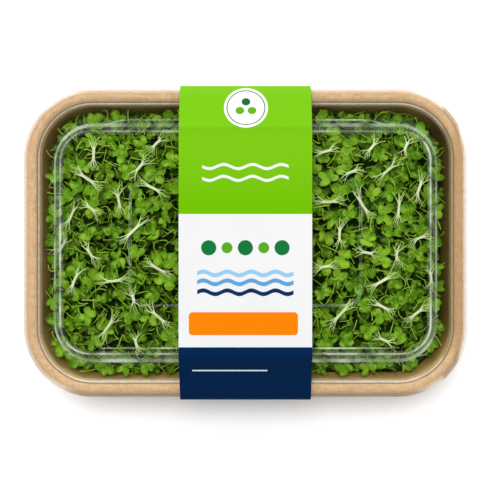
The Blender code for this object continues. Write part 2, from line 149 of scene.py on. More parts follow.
def filleted(path, cut, steps):
    """Rounds the corners of a path by this cut."""
    path = [np.asarray(point, dtype=float) for point in path]
    out = [path[0]]
    for before, point, after in zip(path, path[1:], path[2:]):
        ends = []
        for other in (before, after):
            length = np.linalg.norm(other - point)
            ends.append(point + (other - point) * min(cut / max(length, 1e-9), 0.45))
        out += bent(ends[0], point, ends[1], steps)
    out.append(path[-1])
    return np.array(out)


def creased(path, cuts, steps=4, edge=0.00012):
    """Rounds a path whose last two columns are the haze at a corner and after it."""
    path = [np.asarray(point, dtype=float) for point in path]
    out = [path[0][:-1]]
    for before, point, after, cut in zip(path, path[1:], path[2:], cuts[1:]):
        ends, plain = [], []
        for other, haze in ((before, before[-1]), (after, point[-1])):
            length = np.linalg.norm((other - point)[:2])
            ends.append(point + (other - point) * min(cut / length, 0.40))
            outer = ends[-1] + (other - point) * min(edge / length, 0.05)
            plain.append(np.append(outer[:-2], haze))
        curve = [np.append(spot[:-2], point[-2]) for spot in bent(ends[0], point, ends[1], steps)]
        out += [plain[0], *curve, plain[1]]
    out.append(path[-1][:-1])
    return np.array(out)


def offset_path(path, distance):
    """Moves each point of a 2D path sideways, with mitred corners."""
    steps = unit(np.diff(path, axis=0))
    before = np.vstack([steps[:1], steps])
    after = np.vstack([steps, steps[-1:]])
    along = unit(before + after)
    share = np.maximum((along * before).sum(axis=1), 0.5)
    sideways = np.column_stack([-along[:, 1], along[:, 0]])
    return path + sideways * (distance / share)[:, None]


def rounded_loop(half_x, half_y, radius, z, steps=CORNER_STEPS):
    points = []
    for corner, (side_x, side_y) in enumerate(((1, 1), (-1, 1), (-1, -1), (1, -1))):
        for step in range(steps + 1):
            angle = math.radians(90 * (corner + step / steps))
            x = side_x * (half_x - radius) + radius * math.cos(angle)
            y = side_y * (half_y - radius) + radius * math.sin(angle)
            points.append((x, y, z))
    return points


def strips(rows, columns, closed_rows):
    """Quads between the rings of a loft, numbered ring by ring."""
    quads = []
    for i in range(rows if closed_rows else rows - 1):
        for j in range(columns):
            k = (i + 1) % rows
            m = (j + 1) % columns
            quads.append((i * columns + j, i * columns + m, k * columns + m, k * columns + j))
    return quads


def shell_piece(name, stations, thickness, look, node, closed, extra=None):
    """A sheet that follows stations (half_x, half_y, radius, z) round the tray."""
    stations = np.asarray(stations)
    path = np.column_stack([-stations[:, 0], stations[:, 3]])
    rows = len(stations)
    keys = [*range(rows - 1, -1, -1), *range(rows)]
    rings = []
    for distance, order in ((thickness / 2, keys[:rows]), (-thickness / 2, keys[rows:])):
        moved = offset_path(path, distance)
        grow = path[:, 0] - moved[:, 0]
        rings += [rounded_loop(*(stations[i, :3] + grow[i]), moved[i, 1]) for i in order]
    count = len(rings[0])
    polygons = [strips(len(rings), count, closed)]
    if not closed:
        polygons.append([list(range(count))])
        last = (len(rings) - 1) * count
        polygons.append([[last + k for k in range(count)][::-1]])
    values = {"inner": np.repeat([1, 0], rows * count)}
    if extra is not None:
        haze, skirt = (np.asarray(numbers)[keys] for numbers in extra)
        loop = np.array(rings[0])[:, :2]
        way = unit(np.roll(loop, -1, axis=0) - np.roll(loop, 1, axis=0))
        facing = DOME_HAZE_LEAST + DOME_HAZE_MORE * np.abs(way[:, 1])
        facing += DOME_HAZE_MORE * np.maximum(way[:, 0], 0.0)
        share = skirt[:, None] + (1 - skirt[:, None]) * np.minimum(facing, 1.0)
        values["haze"] = (haze[:, None] * share).ravel()
        values["skirt"] = np.repeat(skirt, count)
    outward(mesh_piece(name, (rings, polygons, values), look, node))


def outward(piece):
    """Turns the faces of a closed piece outwards."""
    bm = bmesh.new()
    bm.from_mesh(piece.data)
    bmesh.ops.recalc_face_normals(bm, faces=bm.faces)
    if bm.calc_volume(signed=True) < 0:
        bmesh.ops.reverse_faces(bm, faces=bm.faces)
    bm.to_mesh(piece.data)
    bm.free()


# Materials

# Strength of the light that the colours of the board are matched under
BOARD_LIGHT = 1.12


class Term:
    """A number that comes out of a node, with the usual arithmetic."""

    def __init__(self, tree, socket):
        self.tree = tree
        self.socket = socket

    def maths(self, operation, *others):
        made = self.tree.nodes.new("ShaderNodeMath")
        made.operation = operation
        for i, value in enumerate((self, *others)):
            if isinstance(value, Term):
                self.tree.links.new(value.socket, made.inputs[i])
            else:
                made.inputs[i].default_value = value
        return Term(self.tree, made.outputs[0])

    def __add__(self, other):
        return self.maths("ADD", other)

    def __sub__(self, other):
        return self.maths("SUBTRACT", other)

    def __mul__(self, other):
        return self.maths("MULTIPLY", other)

    def size(self):
        return self.maths("ABSOLUTE")

    def far(self, other):
        return (self * self + other * other).maths("SQRT")

    def at_least(self, other):
        return self.maths("MAXIMUM", other)

    def at_most(self, other):
        return self.maths("MINIMUM", other)

    def ramp(self, start, stop, low=0.0, high=1.0):
        made = self.tree.nodes.new("ShaderNodeMapRange")
        made.interpolation_type = "SMOOTHSTEP"
        self.tree.links.new(self.socket, made.inputs["Value"])
        spans = {"From Min": start, "From Max": stop, "To Min": low, "To Max": high}
        for key, number in spans.items():
            made.inputs[key].default_value = number
        return Term(self.tree, made.outputs["Result"])


class Look:
    """A material under construction."""

    def __init__(self, name):
        self.material = bpy.data.materials.new(name)
        self.material.use_nodes = True
        self.tree = self.material.node_tree
        self.shader = self.tree.nodes["Principled BSDF"]
        self.output = self.tree.nodes["Material Output"]
        where = self.tree.nodes.new("ShaderNodeTexCoord")
        self.place = where.outputs["Object"]

    def node(self, kind, **inputs):
        made = self.tree.nodes.new(kind)
        for key, value in inputs.items():
            self.feed(made.inputs[key.replace("_", " ")], value)
        return made

    def feed(self, socket, value):
        if isinstance(value, Term):
            value = value.socket
        if isinstance(value, bpy.types.NodeSocket):
            self.tree.links.new(value, socket)
        else:
            socket.default_value = value

    def set(self, **inputs):
        for key, value in inputs.items():
            self.feed(self.shader.inputs[key.replace("_", " ")], value)

    def attribute(self, name):
        made = self.tree.nodes.new("ShaderNodeAttribute")
        made.attribute_name = name
        return Term(self.tree, made.outputs["Fac"])

    def noise(self, scale, detail=3.0, stretch=None):
        place = self.place
        if stretch:
            place = self.node("ShaderNodeMapping", Vector=place, Scale=stretch).outputs[0]
        made = self.node("ShaderNodeTexNoise", Vector=place, Scale=scale, Detail=detail)
        return Term(self.tree, made.outputs["Fac"])

    def mix(self, share, first, second):
        made = self.tree.nodes.new("ShaderNodeMix")
        made.data_type = "RGBA"
        self.feed(made.inputs["Factor"], share)
        for socket, value in ((made.inputs[6], first), (made.inputs[7], second)):
            self.feed(socket, (*value, 1.0) if isinstance(value, tuple) else value)
        return made.outputs[2]

    def coats(self, colour, *coats):
        """A colour with others laid over it in turn, each by its share."""
        for share, tint in coats:
            colour = self.mix(share, colour, tint)
        return colour

    def blend(self, share, first, second):
        """Mix of two shaders."""
        made = self.node("ShaderNodeMixShader", Fac=share)
        self.tree.links.new(first.outputs[0], made.inputs[1])
        self.tree.links.new(second.outputs[0], made.inputs[2])
        return made

    def bump(self, height, distance, strength=1.0):
        made = self.node("ShaderNodeBump", Height=height, Distance=distance, Strength=strength)
        return made.outputs["Normal"]

    def axes(self):
        made = self.node("ShaderNodeSeparateXYZ", Vector=self.place)
        return [Term(self.tree, made.outputs[i]) for i in range(3)]


def shown(red, green, blue, light=1.37):
    """Surface colour that shows as this 8-bit colour under the studio light."""
    out = []
    for value in (red, green, blue):
        share = value / 255
        linear = share / 12.92 if share <= 0.04045 else ((share + 0.055) / 1.055) ** 2.4
        out.append(min(linear / light, 0.95))
    return tuple(out)


def kraft_look():
    look = Look("kraft_board_fibre")
    inner = look.attribute("inner")
    along, across, height = look.axes()
    cloud = look.noise(60.0, 4.0)
    fibre = look.noise(900.0, stretch=(0.25, 1.0, 1.6))
    fibre = fibre * look.noise(1100.0, stretch=(1.2, 0.3, 1.0)) * 4.0
    fleck = look.noise(2600.0, 2.0)

    def tan(red, green, blue):
        return shown(red, green, blue, BOARD_LIGHT)

    def below(start, stop):
        """Share by the depth below the middle of the rolled rim."""
        return height.ramp(CURL_Z - start, CURL_Z - stop)

    # Painted shade: the top of the rolled rim turns darker towards the +X end, away from the
    # light
    shaded_rim_end = along.ramp(0.0800, 0.0830, 0.0, 0.55) * below(0.0, -0.001)
    coated = look.mix(fleck.ramp(0.3, 0.8), tan(246, 206, 122), tan(226, 184, 104))
    # Painted shade: the inner wall darkens with depth below the rim, down towards the greens
    deep = inner * below(0.0024, 0.0066) * across.ramp(-0.0555, -0.044, 0.0, 0.6)
    deep = deep * across.ramp(0.048, 0.055, 1.0, 0.3)
    # Painted shade: the inner wall at the +X end, facing away from the light, is darker
    shaded_far_wall = inner * below(0.0016, 0.0040) * along.ramp(0.070, 0.077, 0.0, 0.70)
    shaded_far_wall = shaded_far_wall * across.ramp(-0.048, -0.026)
    # Painted shade: a darker line along the bend below the rim, strongest on the +Y and −X sides
    bend = below(0.0030, 0.0018) * below(-0.0008, 0.0)
    bend = bend * (across - along * 0.5).ramp(-0.05, 0.05, 0.1, 1.0)
    colour = look.coats(
        look.mix(fibre.ramp(0.55, 1.45), tan(200, 162, 122), tan(220, 185, 145)),
        (cloud.ramp(0.35, 0.7, 0.0, 0.45), tan(214, 180, 136)),
        (fleck.ramp(0.68, 0.80, 0.0, 0.5), tan(140, 104, 66)),
        (shaded_rim_end, tan(168, 130, 86)),  # painted shade: rim darker at the +X end
        (inner * below(0.0, 0.002) * 0.9, coated),
        (deep, tan(116, 88, 30)),  # painted shade: wall darker with depth beside the greens
        (shaded_far_wall, tan(84, 66, 22)),
        (bend * inner * 0.7, tan(120, 88, 40)),  # painted shade: a shadowed line along the bend below the rim
    )
    look.set(
        Base_Color=colour,
        Roughness=fibre.ramp(0.4, 1.6, 0.62, 0.48) - inner * 0.10,
        Normal=look.bump(fibre + fleck * 0.4, 0.00004, 0.6),
        Specular_IOR_Level=0.4,
    )
    return look.material


def clear_look():
    """Clear sheet: see-through, glossy by angle, milky where it was bent and stretched; along the
    skirt and the creases the milk also stands in for bright lines of light as painted highlight.
    """
    look = Look("clear_plastic_sheet")
    tree = look.tree
    haze = look.attribute("haze")
    skirt = look.attribute("skirt")
    ripple = look.noise(35.0, 2.0)
    grain = look.noise(420.0, 2.0)
    normal = look.bump(ripple + grain * 0.03, 0.00025, 0.4)
    fresnel = look.node("ShaderNodeFresnel", IOR=1.5, Normal=normal)
    gloss = look.node("ShaderNodeBsdfGlossy", Roughness=0.10, Normal=normal)
    slant = look.node("ShaderNodeLayerWeight", Blend=0.5, Normal=normal)
    edge = Term(tree, slant.outputs["Facing"]).ramp(0.75, 0.98)
    tint = look.mix(edge, (0.985, 0.99, 0.985), (0.93, 0.94, 0.91))
    clear = look.node("ShaderNodeBsdfTransparent", Color=tint)
    along, across, _ = look.axes()
    # Painted light and shade: the board as it shows through the skirt, side by side, paler on the
    # outer turns and darker along the +X roll and on the −Y side
    board_lit_and_shaded = look.coats(
        look.mix(across.size().ramp(0.050, 0.054), (0.86, 0.74, 0.60), (1.0, 0.91, 0.80)),
        (across.ramp(0.0580, 0.0592), (0.88, 0.74, 0.60)),
        (along.ramp(-0.0840, -0.0852), (0.86, 0.74, 0.61)),
        (along.ramp(0.0765, 0.0780), (0.62, 0.50, 0.34)),
        (along.ramp(0.0825, 0.0845), (1.0, 0.94, 0.87)),
        (across.ramp(-0.0560, -0.0600), (0.52, 0.39, 0.25)),
    )
    pale = look.mix(skirt, (0.84, 0.92, 0.76), board_lit_and_shaded)
    milk = look.node("ShaderNodeBsdfDiffuse", Color=pale, Normal=normal)
    through = look.node("ShaderNodeBsdfTranslucent", Color=pale, Normal=normal)
    cloudy = look.blend(0.4, milk, through)
    patch = look.noise(90.0, 2.0).ramp(0.38, 0.62, 0.35, 1.5)
    patch = patch + skirt * (patch * -1.0 + 1.0)
    milky = haze * patch * grain.ramp(0.3, 0.7, 0.85, 1.1)
    veil = look.blend(milky, clear, cloudy)
    share = (Term(tree, fresnel.outputs[0]) * 0.5).at_most(0.055)
    whole = look.blend(share, veil, gloss)
    tree.links.new(whole.outputs[0], look.output.inputs["Surface"])
    tree.nodes.remove(look.shader)
    return look.material


# Places on the sleeve in metres: across it, and along it from the middle of its top
GREEN_EDGE = 0.0109
NAVY_EDGE = -0.0400
BAR = (-0.0216, 0.0201, -0.0354, -0.0266, 0.0015)
NAVY_LINE = (-0.0205, 0.0085, -0.0500, -0.0494, 0.0003)
BADGE = (0.0002, 0.0529)
BADGE_RADIUS = 0.0085
BADGE_STRETCH = 1.07
BADGE_RING = 0.0012
PETAL_REACH = 0.0027
PETAL_RADIUS = 0.0017
SPOTS_RUN = -0.0020
SPOT_STEP = 0.0070
SPOT_RADII = (0.0029, 0.0021)
# Wavy lines: place, height, length, width, how far they reach, and colour
WAVES = (
    (0.0290, 0.0008, 0.0110, 0.0011, 0.0165, (243, 243, 243)),
    (0.0245, 0.0008, 0.0110, 0.0011, 0.0165, (243, 243, 243)),
    (-0.0118, 0.0007, 0.0092, 0.0016, 0.0184, (150, 203, 238)),
    (-0.0152, 0.0007, 0.0092, 0.0016, 0.0184, (92, 164, 218)),
    (-0.0190, 0.0007, 0.0092, 0.0016, 0.0184, (8, 48, 92)),
)
EDGE = 0.00006


def card_look():
    look = Look("printed_card_face")
    run = look.attribute("run")
    face = look.attribute("inner")
    x, _, _ = look.axes()
    weave = look.noise(700.0, 3.0)
    cloud = look.noise(45.0, 2.0)

    def disc(centre_x, centre_run, radius, stretch=1.0):
        return (x - centre_x).far((run - centre_run) * (1 / stretch)) - radius

    def bar(left, right, low, high, corner):
        across = ((x - (left + right) / 2).size() - ((right - left) / 2 - corner)).at_least(0.0)
        along = ((run - (low + high) / 2).size() - ((high - low) / 2 - corner)).at_least(0.0)
        return across.far(along) - corner

    white = shown(243, 243, 243)
    green = look.coats(
        look.mix(run.ramp(0.008, 0.038), shown(112, 190, 2), shown(124, 198, 22)),
        (run.ramp(0.0405, 0.0435), shown(117, 190, 20)),
        (run.ramp(0.055, 0.064), shown(122, 192, 34)),
    )
    # Distance from the edge of each printed form, and its colour
    prints = [
        (run * -1.0 + GREEN_EDGE, green),
        (run - NAVY_EDGE, shown(4, 39, 79)),
        (bar(*BAR), shown(249, 134, 4)),
    ]
    for level, height, length, width, reach, tint in WAVES:
        crest = (x * (math.tau / length)).maths("SINE") * height
        line = (run - level - crest).size() - width / 2
        prints.append((line.at_least(x.size() - reach), shown(*tint)))
    prints.append((disc(*BADGE, BADGE_RADIUS, BADGE_STRETCH), white))
    ring = disc(*BADGE, BADGE_RADIUS - BADGE_RING, BADGE_STRETCH)
    prints.append((ring.size() - 0.00022, shown(60, 130, 40)))
    for turn in range(3):
        angle = math.radians(90 + 120 * turn)
        x_place = BADGE[0] + PETAL_REACH * math.cos(angle)
        petal = disc(x_place, BADGE[1] + PETAL_REACH * math.sin(angle), PETAL_RADIUS)
        prints.append((petal, shown(96, 170, 30) if turn else shown(24, 104, 52)))
    for number in range(5):
        spot = disc(SPOT_STEP * (number - 2), SPOTS_RUN, SPOT_RADII[number % 2])
        prints.append((spot, shown(90, 168, 36) if number % 2 else shown(22, 120, 60)))
    prints.append((bar(*NAVY_LINE), white))
    colour = look.mix(cloud.ramp(0.3, 0.7), shown(237, 238, 239), shown(242, 242, 242))
    colour = look.coats(colour, *((form.ramp(EDGE, -EDGE), tint) for form, tint in prints))
    plain = look.mix(weave.ramp(0.3, 0.7), shown(226, 224, 218), shown(236, 235, 231))
    colour = look.mix(face.ramp(0.4, 0.6), plain, colour)
    look.set(
        Base_Color=colour,
        Roughness=weave.ramp(0.3, 0.7, 0.50, 0.60),
        Normal=look.bump(weave + cloud * 2.0, 0.00002, 0.5),
        Specular_IOR_Level=0.04,
    )
    return look.material


def leaf_look():
    look = Look("seed_leaf")
    out = look.attribute("out")
    turn = look.attribute("turn")
    tone = look.attribute("tone")
    cells = look.noise(2600.0, 3.0)
    blotch = look.noise(260.0, 2.0)
    veins = turn.size().ramp(0.00, 0.10, 1.0, 0.0)
    for way in (-0.42, 0.42):
        veins = veins.at_least((turn - way).size().ramp(0.0, 0.09, 0.75, 0.0))
    veins = veins * out.ramp(0.15, 0.95, 1.0, 0.0)
    pucker = look.noise(430.0, 2.0)
    # Painted highlight: paler patches in the middle of the lobes, as light falls on them
    lobe_highlight = pucker.ramp(0.40, 0.66) * (out.ramp(0.1, 0.5) - out.ramp(0.85, 1.0))
    colour = look.coats(
        look.mix(tone, shown(76, 132, 0), shown(120, 178, 4)),
        (tone.ramp(0.65, 1.0), shown(146, 198, 44)),
        (blotch.ramp(0.35, 0.65, 0.0, 0.6), shown(84, 140, 0)),
        (lobe_highlight * 0.62, shown(170, 212, 72)),
        # Painted shade: each leaf darker towards its edge
        (out.ramp(0.80, 1.0, 0.0, 0.55), shown(70, 118, 0)),
        (veins * 0.5, shown(200, 228, 92)),
        # Painted shade: lower leaves darker, as they lie in the shade of those above
        (look.attribute("deep"), shown(6, 22, 0)),
    )
    look.set(
        Base_Color=colour,
        Roughness=cells.ramp(0.3, 0.7, 0.34, 0.48),
        Normal=look.bump(cells * 0.06 + veins * 0.12 + pucker, 0.0009, 0.8),
        Specular_IOR_Level=0.18,
        Sheen_Weight=0.03,
        Sheen_Roughness=0.4,
    )
    return look.material


def stem_look():
    look = Look("pale_stem_fibre")
    pale = look.attribute("pale")
    tone = look.attribute("tone")
    streak = look.noise(1500.0, 3.0)
    colour = look.coats(
        look.mix(tone, shown(126, 186, 0), shown(184, 228, 30)),
        (pale, look.mix(tone, shown(226, 240, 178), shown(246, 252, 218))),
        (streak.ramp(0.45, 0.75, 0.0, 0.3), shown(120, 176, 20)),
        # Painted shade: stalks darker the deeper they lie among the leaves
        (look.attribute("deep"), shown(14, 34, 0)),
    )
    look.set(
        Base_Color=colour,
        Roughness=streak.ramp(0.3, 0.7, 0.34, 0.46),
        Normal=look.bump(streak, 0.00005, 0.5),
        Specular_IOR_Level=0.5,
    )
    return look.material


def litter_look():
    look = Look("packed_greens_painted_shade")
    patch = look.noise(420.0, 4.0)
    fine = look.noise(1500.0, 3.0)
    # Painted shade: the packed greens are coloured near black, as they lie in deep shade below
    # the leaves
    colour = look.mix(patch.ramp(0.4, 0.65), (0.004, 0.010, 0.001), (0.020, 0.060, 0.004))
    look.set(
        Base_Color=colour,
        Roughness=fine.ramp(0.3, 0.7, 0.7, 0.9),
        Normal=look.bump(patch + fine * 0.3, 0.0006, 1.0),
    )
    return look.material


# Board tray


CURL_STEP_DEG = 16
WALL_STRETCH = (0.004, 0.003)
WALL_RINGS = 8
FOLD_FLAT = (0.2, 0.8)
PANEL_EDGE = 0.004


def wall_inset(z):
    return CURL_INSET + CURL_HALF_WIDTH + WALL_TAPER * (CURL_Z - z)


def tray_station(inset, z):
    return (TRAY_LENGTH / 2 - inset, TRAY_WIDTH / 2 - inset, TRAY_CORNER_RADIUS - inset, z)


def beside_wall(z, gap):
    return tray_station(wall_inset(z) + gap, z)


def board_tray(look):
    """Side wall with its rolled rim and folded foot, and the panel that the foot grips."""
    stations = []
    for degrees in range(CURL_END_DEG, -1, -CURL_STEP_DEG):
        angle = math.radians(degrees)
        inset = CURL_INSET + CURL_HALF_WIDTH * math.cos(angle)
        stations.append(tray_station(inset, CURL_Z + CURL_HALF_HEIGHT * math.sin(angle)))
    from_rim, from_foot = WALL_STRETCH
    for z in np.linspace(CURL_Z - from_rim, FOOT_Z + from_foot, WALL_RINGS):
        stations.append(beside_wall(z, 0.0))
    beside = BOARD + CLEARANCE
    fold_z = FOOT_Z + BOARD / 2
    stations.append(beside_wall(fold_z + BOARD, 0.0))
    for share in FOLD_FLAT:
        stations.append(beside_wall(fold_z, share * 2 * beside))
    stations.append(beside_wall(fold_z + BOARD, 2 * beside))
    stations.append(beside_wall(FOOT_Z + FOOT_LEG_HEIGHT, 2 * beside))
    shell_piece("kraft_wall", stations, BOARD, look, "tray_wall", closed=True)
    panel = [
        beside_wall(FOOT_Z + 2 * beside, beside),
        beside_wall(BASE_Z - BOARD, beside),
        beside_wall(BASE_Z, 2 * beside),
        beside_wall(BASE_Z, PANEL_EDGE),
    ]
    shell_piece("kraft_base", panel, BOARD, look, "tray_base", closed=False)


# Clear lid


def lid_station(inset, rise, extra_y=0.0):
    half_x, half_y, radius, z = tray_station(inset - LID_MARGIN, RIM_Z + rise)
    return (half_x, z, half_y - extra_y, radius)


# Profile of the lid from its skirt inwards: inset, rise above the rim, and the haze
# at each crease and on the stretch after it
SKIRT = (
    (0.00025, -0.0052, 0.30, 0.20),
    (0.00090, -0.0043, 0.30, 0.20),
    (0.00035, -0.0032, 0.30, 0.20),
    # Partly painted highlight: the heavy haze on the skirt's shoulder also makes its pale lit
    # band
    (0.00025, -0.0010, 0.78, 0.78),
    (0.00070, 0.0001, 0.72, 0.46),
    (0.00170, 0.00058, 0.30, 0.00),
    (0.00460, 0.00058, 0.00, 0.00),
    (0.00550, 0.0002, 0.02, 0.00),
    # Partly painted highlight: the heavy haze at the groove's crease also makes the bright line
    # along it
    (0.00610, -0.0008, 0.92, 0.40),
    (0.00650, -0.0023, 0.20, 0.00),
    (0.00710, -0.0028, 0.00, 0.00),
    (0.01140, -0.0028, 0.00, 0.00),
)
DOME = (
    (DOME_FOOT_INSET, -0.0023, 0.0009, 0.46, 0.08),
    (DOME_INSET, DOME_HEIGHT - 0.0014, 0.0002, 0.10, 0.13),
    (DOME_INSET + 0.0007, DOME_HEIGHT - 0.0003, 0.0, 0.56, 0.10),
    (DOME_INSET + 0.0018, DOME_HEIGHT, 0.0, 0.03, 0.0),
)
# The recessed panel: how far outside its outline, how far below the top, and the haze
PANEL = (
    (EMBOSS_DEPTH / 2, 0.0, 0.13, 0.0),
    (-EMBOSS_DEPTH / 2, EMBOSS_DEPTH, 0.11, 0.0),
    (-0.0030, EMBOSS_DEPTH, 0.0, 0.0),
)
CREASE_CUTS = (0.00042, 0.00034, 0.00010)


def clear_lid(look):
    points = [(*lid_station(inset, rise), *haze) for inset, rise, *haze in SKIRT]
    for inset, rise, extra_y, *haze in DOME:
        points.append((*lid_station(inset, rise, DOME_EXTRA_INSET_Y + extra_y), *haze))
    for grow, drop, *haze in PANEL:
        half_x, half_y = EMBOSS_HALF_LENGTH + grow, EMBOSS_HALF_WIDTH + grow
        points.append((half_x, LID_TOP_Z - drop, half_y, EMBOSS_RADIUS + grow, *haze))
    cuts = [cut for part, cut in zip((SKIRT, DOME, PANEL), CREASE_CUTS) for _ in part]
    path = creased(points, cuts)
    skirt = (path[:, 0] > TRAY_LENGTH / 2 + LID_MARGIN - SKIRT[-2][0]).astype(float)
    stations, extra = path[:, [0, 2, 3, 1]], (path[:, 4], skirt)
    shell_piece("clear_lid", stations, SHEET, look, "lid", False, extra)


# The straight ribs of the lid: y, z, half length, and how far their ends curve round
LID_Y = TRAY_WIDTH / 2 + LID_MARGIN
LEDGE_RIB = (LID_Y - DOME_FOOT_INSET, LEDGE_Z + 0.0002, 0.0575, -0.0034)
TOP_RIB_Y = LID_Y - DOME_INSET - DOME_EXTRA_INSET_Y - 0.0030
TOP_RIB = (-TOP_RIB_Y, LID_TOP_Z + 0.0002, 0.0560, 0.0)
RIB_POINTS = 41
RIB_SIDES = 10
RIB_STRAIGHT = 0.80
RIB_DROP = 0.0003
RIB_HALF = 0.00036
RIB_HAZE = 0.30


def lid_rib(name, look, y, z, half_length, curl):
    """Half-round rib pressed into the sheet, drawn down towards its ends."""
    share = np.linspace(-1, 1, RIB_POINTS)
    past = np.maximum(np.abs(share) - RIB_STRAIGHT, 0.0) / (1 - RIB_STRAIGHT)
    path = np.column_stack([share * half_length, y + curl * past**2, z - RIB_DROP * past**2])
    radii = RIB_HALF * (1 - 0.55 * past**2)
    haze = RIB_HAZE * (1 - 0.6 * past)
    shape = round_part(path[None], radii[None], RIB_SIDES, haze=haze)
    mesh_piece(name, shape, look, None, 80)


# Card sleeve

# Corners of the card as y and z off the tray's foot, the lid's rim and the dome's edge
SLEEVE_FOOT = ((0.0006, 0.0), (0.0016, 0.0007))
SLEEVE_RIM = ((0.0, -0.0048), (0.0, -0.0002), (-0.0005, 0.0007))
SLEEVE_DOME = ((0.0020, -0.0010), (0.0008, -0.00025), (-0.0010, 0.0))
LAP_STEP = (0.0006, 0.0024)
SLEEVE_BEND = 0.0004
SLEEVE_STEP = 0.004
SLEEVE_COLUMNS = (-1, -0.994, -0.5, 0, 0.5, 0.994, 1)


def sleeve_line():
    """Middle of the card's thickness in y and z, and the length run from its top."""
    proud = CLEARANCE + CARD / 2  # of what the card lies on
    foot_y = TRAY_WIDTH / 2 - wall_inset(FOOT_Z)
    rim_y = LID_Y + proud
    dome_y = LID_Y - DOME_INSET - DOME_EXTRA_INSET_Y
    top_z = LID_TOP_Z + RIB_RADIUS + proud
    side = [(foot_y + y, CARD / 2 + z) for y, z in SLEEVE_FOOT]
    side += [(rim_y + y, RIM_Z + z) for y, z in SLEEVE_RIM]
    side += [(dome_y + y, top_z + z) for y, z in SLEEVE_DOME]
    lap_z = CARD / 2 + CARD + LAP_GAP
    path = [(-LAP_HALF_WIDTH, lap_z), (LAP_HALF_WIDTH + LAP_STEP[0], lap_z)]
    path += [(LAP_HALF_WIDTH + LAP_STEP[1], CARD / 2), *side, (0.0, top_z)]
    path += [(-y, z) for y, z in reversed(side)]
    path.append((LAP_HALF_WIDTH, CARD / 2))
    middle = filleted(path, SLEEVE_BEND, steps=3)
    fine = [middle[0]]
    for point in middle[1:]:
        start = fine[-1]
        parts = max(int(np.linalg.norm(point - start) / SLEEVE_STEP), 1)
        fine += [start + (point - start) * (k + 1) / parts for k in range(parts)]
    middle = np.array(fine)
    lengths = np.concatenate([[0], np.cumsum(np.linalg.norm(np.diff(middle, axis=0), axis=1))])
    on_top = middle[:, 1] > top_z - 0.0001
    centre = np.interp(0.0, -middle[on_top, 0], lengths[on_top])
    return middle, centre - lengths


def card_sleeve(look):
    middle, run = sleeve_line()
    verts = [
        (share * SLEEVE_WIDTH / 2, y, z)
        for distance in (CARD / 2, -CARD / 2)
        for share in SLEEVE_COLUMNS
        for y, z in offset_path(middle, distance)
    ]
    wide, count = len(SLEEVE_COLUMNS), len(middle)
    index = np.arange(2 * wide * count).reshape(2, wide, count)
    quads = [
        np.stack([g[:-1, :-1], g[:-1, 1:], g[1:, 1:], g[1:, :-1]], axis=-1).reshape(-1, 4)
        for g in (*index, index[:, 0], index[:, -1], index[..., 0], index[..., -1])
    ]
    values = {"run": np.tile(run, 2 * wide), "inner": np.repeat([0, 1], wide * count)}
    outward(mesh_piece("card_sleeve", (verts, quads, values), look, "sleeve", 50))


# Greens


def canopy(x, y):
    half_x, half_y, _ = wall_outline(CANOPY_EDGE)
    reach = np.minimum(half_x - np.abs(x), half_y - np.abs(y)) - CANOPY_LEDGE
    share = np.clip(reach / CANOPY_SHOULDER, 0.0, 1.0)
    smooth = share * share * (3 - 2 * share)
    ripple = 0.0006 * np.sin(x / 0.0061) * np.cos(y / 0.0053)
    return CANOPY_EDGE + CANOPY_RISE * smooth + ripple


def wall_outline(z, gap=0.0):
    inset = wall_inset(z) + BOARD / 2 + GREENS_WALL_GAP
    half_x, half_y = TRAY_LENGTH / 2 - inset, TRAY_WIDTH / 2 - inset
    return half_x - gap, half_y - gap, TRAY_CORNER_RADIUS - inset


def outside(points, outline):
    """Vectors by which points lie outside a rounded rectangle."""
    half_x, half_y, radius = outline
    flat = points[..., :2]
    past = np.maximum(np.abs(flat) - (half_x - radius, half_y - radius), 0.0)
    length = np.hypot(past[..., :1], past[..., 1:])
    over = np.maximum(length - radius, 0.0) / np.maximum(length, 1e-9)
    return np.sign(flat) * past * over


def bunch_lines():
    """Middle, direction and half length of each bunch of stems in the frame."""
    lines = []
    for name in sorted(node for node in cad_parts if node.startswith("stems_")):
        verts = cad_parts[name].data.vertices
        points = np.array([v.co for v in verts], dtype=float).reshape(-1, 3)
        middle = (points.min(axis=0) + points.max(axis=0)) / 2
        centre = points[:, :2].mean(axis=0)
        way = np.linalg.svd(points[:, :2] - centre, full_matrices=False)[2][0]
        reach = (points[:, :2] - centre) @ way
        middle[:2] = centre + way * (reach.max() + reach.min()) / 2
        lines.append((name, middle, way, (reach.max() - reach.min()) / 2))
    return lines


def free_height(points, lines):
    """Height that a leaf may reach under the lid and the bunches of stems."""
    inset = DOME_INSET + PLASTIC / 2 + CLEARANCE
    half_x, _, half_y, radius = lid_station(inset, 0.0, DOME_EXTRA_INSET_Y)
    over_ledge = np.linalg.norm(outside(points, (half_x, half_y, radius)), axis=-1) > 0
    under_dome = LID_TOP_Z - EMBOSS_DEPTH - PLASTIC / 2 - CLEARANCE
    free = np.where(over_ledge, LEDGE_Z - RIB_RADIUS - CLEARANCE, under_dome)
    for _, middle, way, half in lines:
        flat = points[..., :2] - middle[:2]
        reach = np.clip(flat @ way, -0.6 * half, 0.6 * half)
        gap = np.linalg.norm(flat - reach[..., None] * way, axis=-1)
        free = np.where(gap < 0.0014, np.minimum(free, middle[2] - 0.0010), free)
    return free


# Outline of a seed leaf about its base: degrees off its middle and share of its length
LEAF_OUTLINE = (
    (0, 0.62), (8, 0.72), (18, 0.92), (30, 1.00), (44, 0.97), (58, 0.88), (72, 0.72),
    (84, 0.52), (94, 0.30),
)
LEAF_SPAN_DEG = 94


